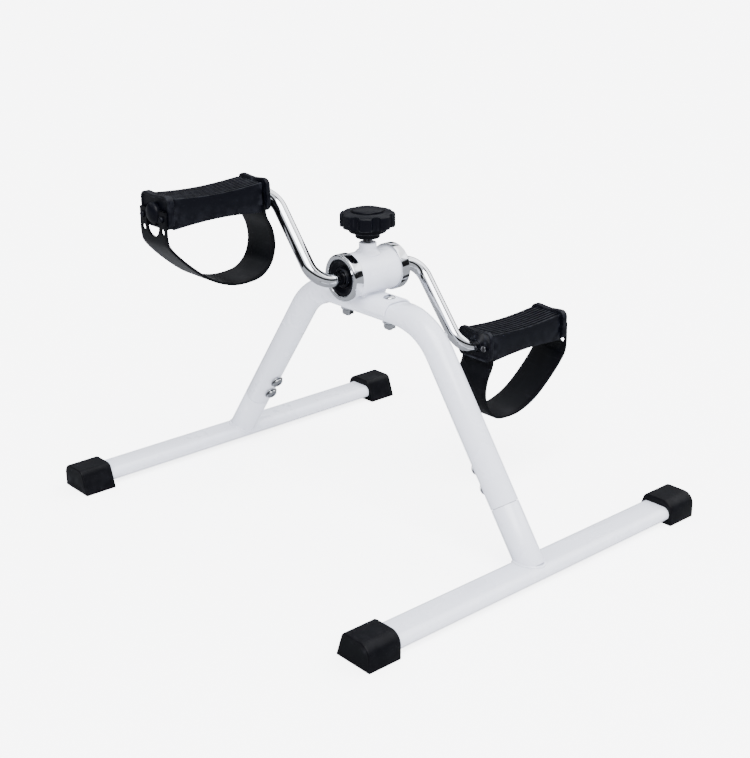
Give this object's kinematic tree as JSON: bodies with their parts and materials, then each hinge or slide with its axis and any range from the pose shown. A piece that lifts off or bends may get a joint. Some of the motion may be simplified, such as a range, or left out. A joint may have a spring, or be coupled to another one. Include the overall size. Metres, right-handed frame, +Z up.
{
  "type": "pedal exerciser",
  "caption": "Compact pedal exerciser: bent tube arch on base bars, friction hub with tension knob, bent crank and ribbed pedals with foot straps.",
  "frame": {"origin": "on the floor, under the middle of the hub", "axes": "+X along the crank axis and the base bars, towards the user's right; +Y towards the rear bar; +Z up"},
  "size_m": [0.4, 0.4576, 0.3184],
  "materials": {
    "white_paint": "glossy cool-white powder coat",
    "bright_chrome": "bright chrome plate",
    "chromed_fasteners": "bright plated steel fasteners",
    "zinc_steel": "zinc plated steel",
    "black_steel": "satin black coated steel screws",
    "black_plastic": "satin black moulded plastic",
    "black_rubber": "satin black moulded rubber",
    "strap_rubber": "smooth flexible black strap",
    "brake_felt": "pressed brown brake felt"
  },
  "bodies": {
    "frame": {"front_base_bar": "white_paint", "rear_base_bar": "white_paint", "arch_tube": "white_paint", "hub_housing": "white_paint", "front_leg_sleeve": "zinc_steel", "rear_leg_sleeve": "zinc_steel", "left_hub_ring": "bright_chrome", "right_hub_ring": "bright_chrome", "left_hub_bush": "black_plastic", "right_hub_bush": "black_plastic", "front_saddle_bolt": "chromed_fasteners", "rear_saddle_bolt": "chromed_fasteners", "front_saddle_nut": "chromed_fasteners", "rear_saddle_nut": "chromed_fasteners", "front_lower_leg_bolt": "chromed_fasteners", "front_lower_leg_washer": "chromed_fasteners", "front_upper_leg_bolt": "chromed_fasteners", "front_upper_leg_washer": "chromed_fasteners", "rear_lower_leg_bolt": "chromed_fasteners", "rear_lower_leg_washer": "chromed_fasteners", "rear_upper_leg_bolt": "chromed_fasteners", "rear_upper_leg_washer": "chromed_fasteners", "front_left_foot_cap": "black_rubber", "front_right_foot_cap": "black_rubber", "rear_left_foot_cap": "black_rubber", "rear_right_foot_cap": "black_rubber"},
    "crank_assembly": {"crank": "bright_chrome", "friction_drum": "zinc_steel", "left_pedal_push_nut": "chromed_fasteners", "right_pedal_push_nut": "chromed_fasteners"},
    "brake": {"brake_shoe": "brake_felt"},
    "knob": {"tension_screw": "zinc_steel", "tension_knob": "black_plastic", "knob_cover": "black_plastic"},
    "left_pedal": {"left_pedal_body": "black_plastic", "left_pedal_inner_flange": "black_plastic", "left_pedal_outer_flange": "black_plastic", "left_pedal_axle_cap": "black_plastic", "left_pedal_strap": "strap_rubber", "left_pedal_screw_1": "black_steel", "left_pedal_screw_2": "black_steel"},
    "right_pedal": {"right_pedal_body": "black_plastic", "right_pedal_inner_flange": "black_plastic", "right_pedal_outer_flange": "black_plastic", "right_pedal_axle_cap": "black_plastic", "right_pedal_strap": "strap_rubber", "right_pedal_screw_1": "black_steel", "right_pedal_screw_2": "black_steel"}
  },
  "joints": [
    {"name": "crank_spin", "type": "hinge", "parent": "frame", "child": "crank_assembly", "pos_m": [0, 0, 0.2284], "axis": [1, 0, 0], "continuous": true},
    {"name": "left_pedal_spin", "type": "hinge", "parent": "crank_assembly", "child": "left_pedal", "pos_m": [-0.06, 0.06036, 0.30241], "axis": [1, 0, 0], "continuous": true},
    {"name": "right_pedal_spin", "type": "hinge", "parent": "crank_assembly", "child": "right_pedal", "pos_m": [0.06, -0.06036, 0.15439], "axis": [1, 0, 0], "continuous": true},
    {"name": "brake_travel", "type": "slide", "parent": "frame", "child": "brake", "axis": [0, 0, -1], "range_m": [0, 0.0025]},
    {"name": "knob_turn", "type": "hinge", "parent": "brake", "child": "knob", "pos_m": [0, 0, 0.2284], "axis": [0, 0, -1], "range_deg": [0, 720]}
  ],
  "couplings": [
    {"joint": "brake_travel", "follows": "knob_turn", "m_per_rad": 0.00019894}
  ]
}
